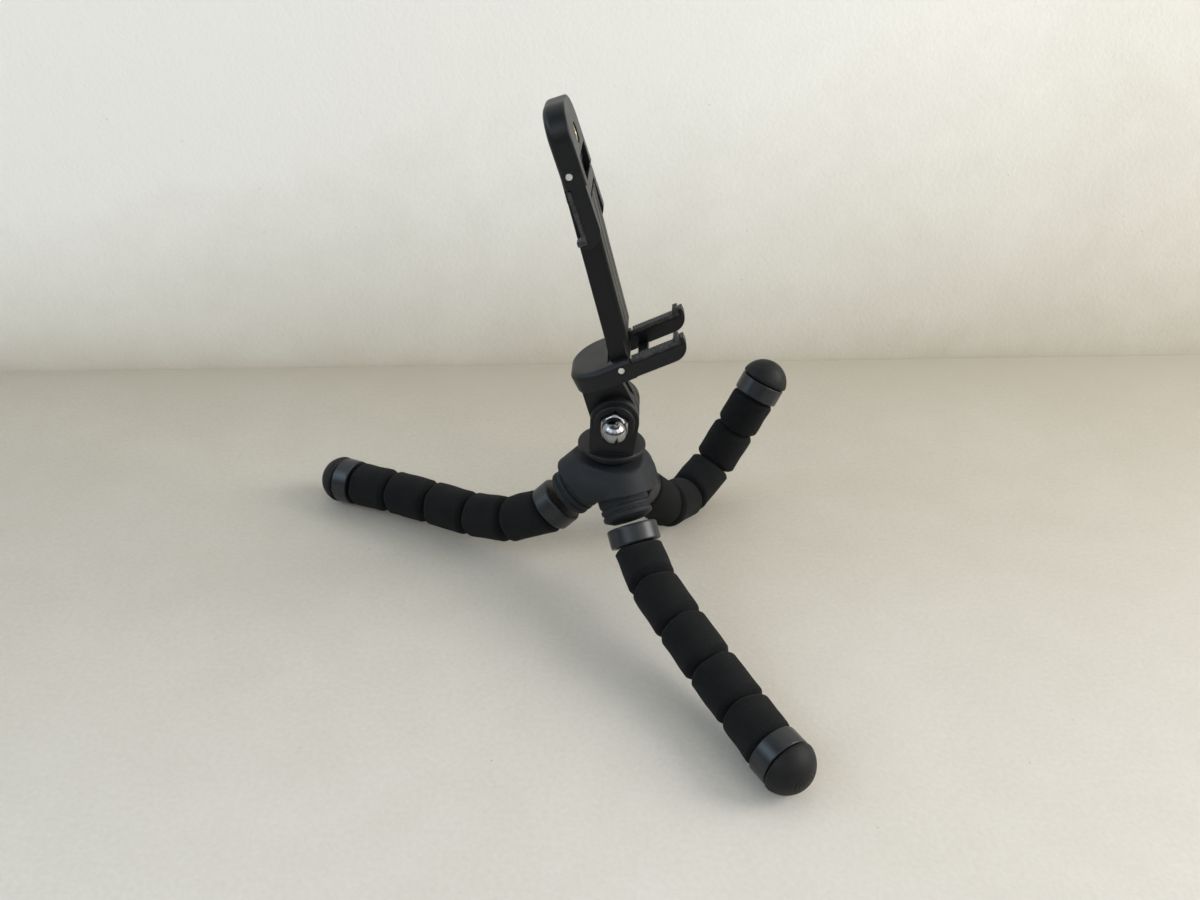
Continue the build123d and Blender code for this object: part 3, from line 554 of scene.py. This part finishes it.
rubber_mix = Finish("foot_rubber")
bloom = rubber_mix.mottle(170, 4).above(0.5, 0.25)
rubber_tone = rubber_mix.blended(bloom, (0.0056, 0.0060, 0.0063), (0.0105, 0.011, 0.011))
rubber_tone = rubber_mix.blended(rubber_mix.specks(800, 0.07, 0.06) * 0.4, rubber_tone, (0.25, 0.24, 0.21))
rubber_height = rubber_mix.mottle(3300, 3) * 0.6 + rubber_mix.mottle(420, 2) * 0.4
foot_rubber = rubber_mix.surface(Base_Color=rubber_tone, Roughness=0.50 + bloom * 0.12,
                                 Normal=rubber_mix.relief(rubber_height, 0.00006), Specular_IOR_Level=0.21)
for leg in LEGS:
    bends, run = course_of(leg)
    ring_start = bends[-1]
    seat = ((points_of(f"{leg}_leg_end_ring") - ring_start) @ run).max()
    middle = points_of(f"{leg}_leg_foot").mean(0)
    rubber_foot = turned_piece(f"{leg}_rubber_foot", middle + run * (seat - (middle - ring_start) @ run), run,
                               *foot_profile())
    rubber_foot.data.materials.append(foot_rubber)
    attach(rubber_foot, f"{leg}_leg_bead_{SLEEVES}")
    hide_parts(f"{leg}_leg_foot")


# The pan base and the clamp's neck: a flange with a three-prong clevis, and the two tongues that stand in it,
# both moulded in a slightly glossier black nylon than the hub.
clevis_nylon = moulded("clevis_nylon", (0.0045, 0.005, 0.0058), 0.38, 0.6, 0.5, 0.28)
dress(clevis_nylon, "pan_base", "mount_neck")


# The tilt bolt, the pan screw and the jaw pins: bright drawn steel, with fine marks along the bar and a
# little tarnish. The bolt runs through the clevis, the screw up into the pan base, the pins through the jaws.
def bright_metal(name, tone, gloss, marks):
    """Bare metal: tone drifts slowly and fine noise stretched along Y leaves drawing marks."""
    mix = Finish(name)
    drawn = mix.node("ShaderNodeMapping", None, {"Vector": mix.place, "Scale": (1.0, 0.06, 1.0)})
    lines = mix.mottle(5200, 2, drawn)
    tarnish = mix.mottle(420, 3).above(0.55, 0.25)
    colour = mix.blended(tarnish, tone, tuple(c * 0.72 for c in tone))
    return mix.surface(Base_Color=colour, Metallic=1.0, Roughness=gloss + tarnish * 0.12 + lines * 0.06,
                       Normal=mix.relief(lines, marks))


pin_steel = bright_metal("pin_steel", (0.74, 0.73, 0.71), 0.26, 0.00002)
dress(pin_steel, "pivot_bolt", "pan_screw", "bottom_jaw_pin", "top_jaw_pin")


# The domed cap nut on the near side of the tilt bolt: chromium over turned steel. Its colour is kept dark, a
# painted reflection of a dim room that the set doesn't hold. It clamps the tongues in the clevis when the
# clamp is set.
nut_chrome_with_painted_reflection = bright_metal("nut_chrome_with_painted_reflection", (0.34, 0.34, 0.35), 0.10, 0.000012)
dress(nut_chrome_with_painted_reflection, "acorn_nut")


# The clamp's mouldings: two forked jaws, the box rail and the bar that slides in it, all in hard satin black
# plastic. The rail's grooved front plate is the same black painted a shade greyer, painted light for the
# light falling on its face from the right.
jaw_plastic = moulded("jaw_plastic", (0.0040, 0.0048, 0.0055), 0.31, 0.8, 0.5, 0.27)
dress(jaw_plastic, "bottom_jaw", "top_jaw")
rail_plastic = moulded("rail_plastic", (0.0032, 0.0038, 0.0042), 0.38, 1.1, 0.5, 0.24)
dress(rail_plastic, "rail", "slider_bar")
cover_plastic_with_painted_light = moulded("cover_plastic_with_painted_light", (0.009, 0.0088, 0.008), 0.36, 0.8, 0.5, 0.26)
dress(cover_plastic_with_painted_light, "rail_cover")


# The slider's two return springs: close-wound bright wire, lying in the slots of the sliding bar.
# They pull the upper jaw down on the phone.
COIL_R, COIL_WIRE, COIL_PITCH = 0.00102, 0.00024, 0.00062
STEPS_A_TURN, WIRE_SIDES, COIL_CLEAR = 18, 8, 0.0004


def coil(name, low, high):
    """A round wire carried along a helix: the centre turns once for each pitch of the way from low to high,
    and at each step a small circle lies across the helix's own direction. The ends are drawn to a point."""
    length = np.linalg.norm(high - low)
    turns = length / COIL_PITCH
    t = np.linspace(0, 1, int(turns * STEPS_A_TURN))
    up = unit(high - low)
    across = unit(np.cross(up, [0.0, 1.0, 0.2]))
    other = np.cross(up, across)
    spin = (2 * np.pi * turns * t)[:, None]
    radial = np.cos(spin) * across + np.sin(spin) * other
    centre = low + t[:, None] * (high - low) + COIL_R * radial
    forwards = np.gradient(centre, axis=0)
    forwards /= np.linalg.norm(forwards, axis=1)[:, None]
    beside = np.cross(forwards, radial)
    a = np.linspace(0, 2 * np.pi, WIRE_SIDES, endpoint=False)
    thick = COIL_WIRE * np.where((t <= 0) | (t >= 1), 1e-3, 1.0)
    ring = np.cos(a)[None, :, None] * radial[:, None] + np.sin(a)[None, :, None] * beside[:, None]
    return lofted(name, centre[:, None] + thick[:, None, None] * ring, False)


slide_way = unit(np.array(joints["slide"]["axis"], float))
spring_points = points_of("slider_springs")
for side, name in ((-1, "near_spring"), (1, "far_spring")):
    tube = spring_points[spring_points[:, 1] * side > 0]
    middle = tube.mean(0)
    reach = (tube - middle) @ slide_way
    spring = coil(name, middle + slide_way * (reach.min() + COIL_CLEAR),
                  middle + slide_way * (reach.max() - COIL_CLEAR))
    spring.data.materials.append(pin_steel)
    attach(spring, "rail")
    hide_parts("slider_springs")


# The finger pads: soft rubber strips bedded on the jaws' fingers, cross-ribbed to grip, each ending in a
# ribbed hook that keeps the phone from sliding off.
PAD_BED, PAD_TOP, PAD_START, PAD_END = 0.00075, 0.0022, 0.0039, 0.01925
HOOK, HOOK_RISE, HOOK_RAMP = 0.0013, 0.0017, 0.0009
PAD_LOW, PAD_HIGH, PAD_STEPS, PAD_ROWS = 0.00835, 0.0116, 240, 26
RIB_PITCH, RIB, GROOVE_PITCH, GROOVE, PAD_EDGE = 0.00085, 0.00022, 0.00065, 0.00012, 0.00025


def pad_height(x, y):
    """Height over the finger: the pad's face with round cross ribs, the ramp and flat of the hook with ribs
    that run up it, and an edge that falls off in a quarter circle."""
    ramp = np.clip((x - (PAD_END - HOOK - HOOK_RAMP)) / HOOK_RAMP, 0, 1)
    ribs = RIB * (np.abs(np.sin(np.pi * (x - PAD_START) / RIB_PITCH)) - 1) * (1 - ramp)
    grooves = GROOVE * (np.abs(np.sin(np.pi * (y - PAD_LOW) / GROOVE_PITCH)) - 1) * ramp
    margin = np.minimum(np.minimum(y - PAD_LOW, PAD_HIGH - y), np.minimum(x - PAD_START, PAD_END - x))
    short = np.clip(1 - margin / PAD_EDGE, 0, 1)
    return PAD_TOP + HOOK_RISE * ramp + ribs + grooves - PAD_EDGE * (1 - np.sqrt(1 - short ** 2))


def finger_pad(name, origin, along, normal, side):
    """A pad over the finger on one side: rows across it run along its face and back under its bed, so each
    row is a closed loop, and the rows at its two sides are drawn in to a line."""
    x_step = np.linspace(PAD_START, PAD_END, PAD_STEPS)
    y = np.linspace(PAD_LOW, PAD_HIGH, PAD_ROWS)
    x_loop = np.concatenate([x_step, x_step[::-1]])
    x, width = np.meshgrid(x_loop, y)
    z = np.where(np.arange(len(x_loop))[None, :] < len(x_step), pad_height(x, width), PAD_BED)
    flat = np.full((1, len(x_loop)), PAD_BED)
    z = np.concatenate([flat, z, flat])
    x = np.concatenate([x[:1], x, x[-1:]])
    width = np.concatenate([width[:1], width, width[-1:]])
    across = np.array([0.0, side, 0.0])
    grid = origin + x[..., None] * along + width[..., None] * across + z[..., None] * normal
    return lofted(name, grid, False)


pad_mix = Finish("pad_rubber")
scuff = pad_mix.mottle(900, 4).above(0.52, 0.16)
pad_tone = pad_mix.blended(scuff, (0.010, 0.0105, 0.011), (0.045, 0.045, 0.043))
pad_rubber = pad_mix.surface(Base_Color=pad_tone, Roughness=0.5 + scuff * 0.2,
                             Normal=pad_mix.relief(pad_mix.mottle(4200, 3), 0.00008))


def pin_centre(name):
    """The middle of a pin, in the object's middle plane."""
    low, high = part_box(name)
    return np.array([(low.x + high.x) / 2, 0.0, (low.z + high.z) / 2])


RAIL_LEAN, JAW_OPEN, TOP_JAW_STAND_OFF = 16.3, 79.3, 3.6
finger_slope = math.radians(90 + RAIL_LEAN - JAW_OPEN)
folded_slope = math.radians(RAIL_LEAN + TOP_JAW_STAND_OFF)
jaw_frames = {
    "bottom_jaw": (np.array([math.cos(finger_slope), 0, math.sin(finger_slope)]),
                   np.array([-math.sin(finger_slope), 0, math.cos(finger_slope)]), "clamp_base"),
    "top_jaw": (np.array([math.sin(folded_slope), 0, -math.cos(folded_slope)]),
                np.array([-math.cos(folded_slope), 0, -math.sin(folded_slope)]), "top_jaw"),
}
for jaw, (along, normal, body) in jaw_frames.items():
    for side, word in ((-1, "near"), (1, "far")):
        pad = finger_pad(f"{jaw}_{word}_pad", pin_centre(f"{jaw}_pin"), along, normal, side)
        pad.data.materials.append(pad_rubber)
        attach(pad, body)
        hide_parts(f"{jaw}_pads")


# The insert in the upper jaw: a plated brass bush, pressed in, with a screw thread cut in its bore.
# It takes a small camera screw or a stub of the same kind.
INSERT_R, INSERT_BORE_R, INSERT_EDGE = 0.0029, 0.0016, 0.0002
THREAD, THREAD_PITCH, THREAD_ROWS, BUSH_SIDES = 0.00018, 0.0005, 60, 64


def bush(name, centre, run, depth):
    """A closed ring of rows: out over the face, down the plain outside and back up the bore, whose radius
    rises and falls in a triangle wave that climbs one pitch for each turn."""
    a = np.linspace(0, 2 * np.pi, BUSH_SIDES, endpoint=False)
    bore_z = np.linspace(depth, 0, THREAD_ROWS)
    out_r = np.array([INSERT_R - INSERT_EDGE, INSERT_R, INSERT_R, INSERT_R - INSERT_EDGE])
    out_z = np.array([0, INSERT_EDGE, depth - INSERT_EDGE, depth])
    z = np.concatenate([out_z, bore_z])
    phase = (bore_z[:, None] / THREAD_PITCH + a[None, :] / (2 * np.pi)) % 1
    fade = np.clip(np.minimum(bore_z, depth - bore_z) / INSERT_EDGE, 0, 1)[:, None]
    bore = INSERT_BORE_R + THREAD * (1 - 2 * np.abs(phase - 0.5)) * fade
    radius = np.concatenate([np.repeat(out_r[:, None], len(a), 1), bore])
    across = unit(np.cross(run, [0.0, 1.0, 0.0]))
    outward = np.cos(a)[:, None] * across + np.sin(a)[:, None] * np.cross(run, across)
    grid = centre + z[:, None, None] * run + radius[..., None] * outward[None]
    return lofted(name, grid, True)


insert_points = points_of("top_jaw_insert")
insert_run = jaw_frames["top_jaw"][1]
insert_reach = (insert_points - insert_points.mean(0)) @ insert_run
insert_low = insert_points.mean(0) + insert_run * insert_reach.min()
threaded_bush = bush("threaded_bush", insert_low, insert_run, insert_reach.max() - insert_reach.min())
plated_brass = bright_metal("plated_brass", (0.80, 0.70, 0.48), 0.24, 0.00002)
threaded_bush.data.materials.append(plated_brass)
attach(threaded_bush, "top_jaw")
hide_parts("top_jaw_insert")
